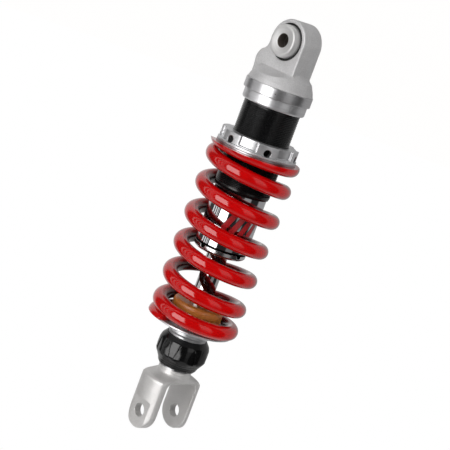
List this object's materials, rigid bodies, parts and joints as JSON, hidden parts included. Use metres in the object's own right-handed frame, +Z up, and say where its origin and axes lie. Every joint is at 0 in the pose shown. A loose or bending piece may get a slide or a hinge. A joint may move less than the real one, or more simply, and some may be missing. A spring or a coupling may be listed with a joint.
{
  "type": "motorcycle rear shock absorber",
  "caption": "Coil-over rear shock absorber with top eye bush, threaded preload ring, gas-backed damper, bump stop, rebound knob and slotted lower clevis.",
  "frame": {"origin": "centre of the bolt bore in the top eye", "axes": "+Z up along the damper axis, +Y along both bolt axes, +X away from the gas port boss"},
  "size_m": [0.0829, 0.083, 0.3862],
  "materials": {
    "cast_alloy": "blasted casting",
    "turned_alloy": "turned, semi-bright",
    "black_anodised": "black anodised alloy, satin",
    "chrome": "polished",
    "steel": "machined",
    "spring_red": "gloss powder coat",
    "rubber": "moulded nitrile",
    "polyurethane": "amber polyurethane",
    "bronze": "sintered bronze",
    "ptfe": "filled PTFE band"
  },
  "bodies": {
    "damper_body": {"top_mount": "cast_alloy", "body_lock_collar": "turned_alloy", "threaded_body": "black_anodised", "damper_cylinder": "chrome", "cylinder_oring": "rubber", "gas_fill_plug": "steel", "gas_plug_seal": "rubber", "top_bearing_bush": "bronze", "dust_seals": "rubber", "shaft_guide": "turned_alloy", "guide_bush": "bronze", "shaft_seal": "rubber", "guide_oring": "rubber", "end_cap": "chrome", "shaft_wiper": "rubber", "coil_spring": "spring_red"},
    "top_bush": {"bolt_sleeve": "steel", "bush_collars": "turned_alloy"},
    "gas_piston": {"floating_piston": "turned_alloy", "floating_piston_oring": "rubber"},
    "spring_carrier": {"thrust_washer": "steel"},
    "adjuster_ring": {"preload_ring": "turned_alloy"},
    "shaft": {"damper_rod": "chrome", "piston_nut": "steel", "nut_washer": "steel", "rebound_shims": "steel", "main_piston": "turned_alloy", "piston_band": "ptfe", "compression_shims": "steel", "cup_washer": "steel", "top_out_bumper": "rubber", "bump_stop": "polyurethane", "lower_spring_seat": "turned_alloy", "clevis": "cast_alloy", "detent_ball": "steel", "detent_spring": "steel", "knob_clip": "steel"},
    "adjuster_knob": {"rebound_knob": "black_anodised"},
    "needle_set": {"rebound_needle": "steel", "cross_pin": "steel"}
  },
  "joints": [
    {"name": "stroke", "type": "slide", "parent": "damper_body", "child": "shaft", "axis": [0, 0, 1], "range_m": [0, 0.059], "stiffness_N_per_m": 75000, "springref_m": -0.008, "deforming": ["coil_spring", "bump_stop"]},
    {"name": "gas_piston_travel", "type": "slide", "parent": "damper_body", "child": "gas_piston", "axis": [0, 0, 1], "range_m": [0, 0.0112]},
    {"name": "preload_travel", "type": "slide", "parent": "damper_body", "child": "spring_carrier", "axis": [0, 0, 1], "range_m": [-0.0075, 0.0045], "deforming": ["coil_spring"]},
    {"name": "preload_turn", "type": "hinge", "parent": "spring_carrier", "child": "adjuster_ring", "pos_m": [0, 0, -0.092], "axis": [0, 0, 1], "range_deg": [-1801, 1081]},
    {"name": "top_bush_turn", "type": "hinge", "parent": "damper_body", "child": "top_bush", "pos_m": [0, 0, 0], "axis": [0, 1, 0], "continuous": true},
    {"name": "rebound_turn", "type": "hinge", "parent": "shaft", "child": "adjuster_knob", "pos_m": [0, 0, -0.29], "axis": [0, 0, 1], "range_deg": [-541, 541]},
    {"name": "needle_travel", "type": "slide", "parent": "shaft", "child": "needle_set", "axis": [0, 0, 1], "range_m": [-0.0015, 0.0015]}
  ],
  "couplings": [
    {"joint": "gas_piston_travel", "follows": "stroke", "ratio": 0.18647},
    {"joint": "preload_turn", "follows": "preload_travel", "rad_per_m": 4188.8},
    {"joint": "rebound_turn", "follows": "needle_travel", "rad_per_m": 6283.2}
  ]
}
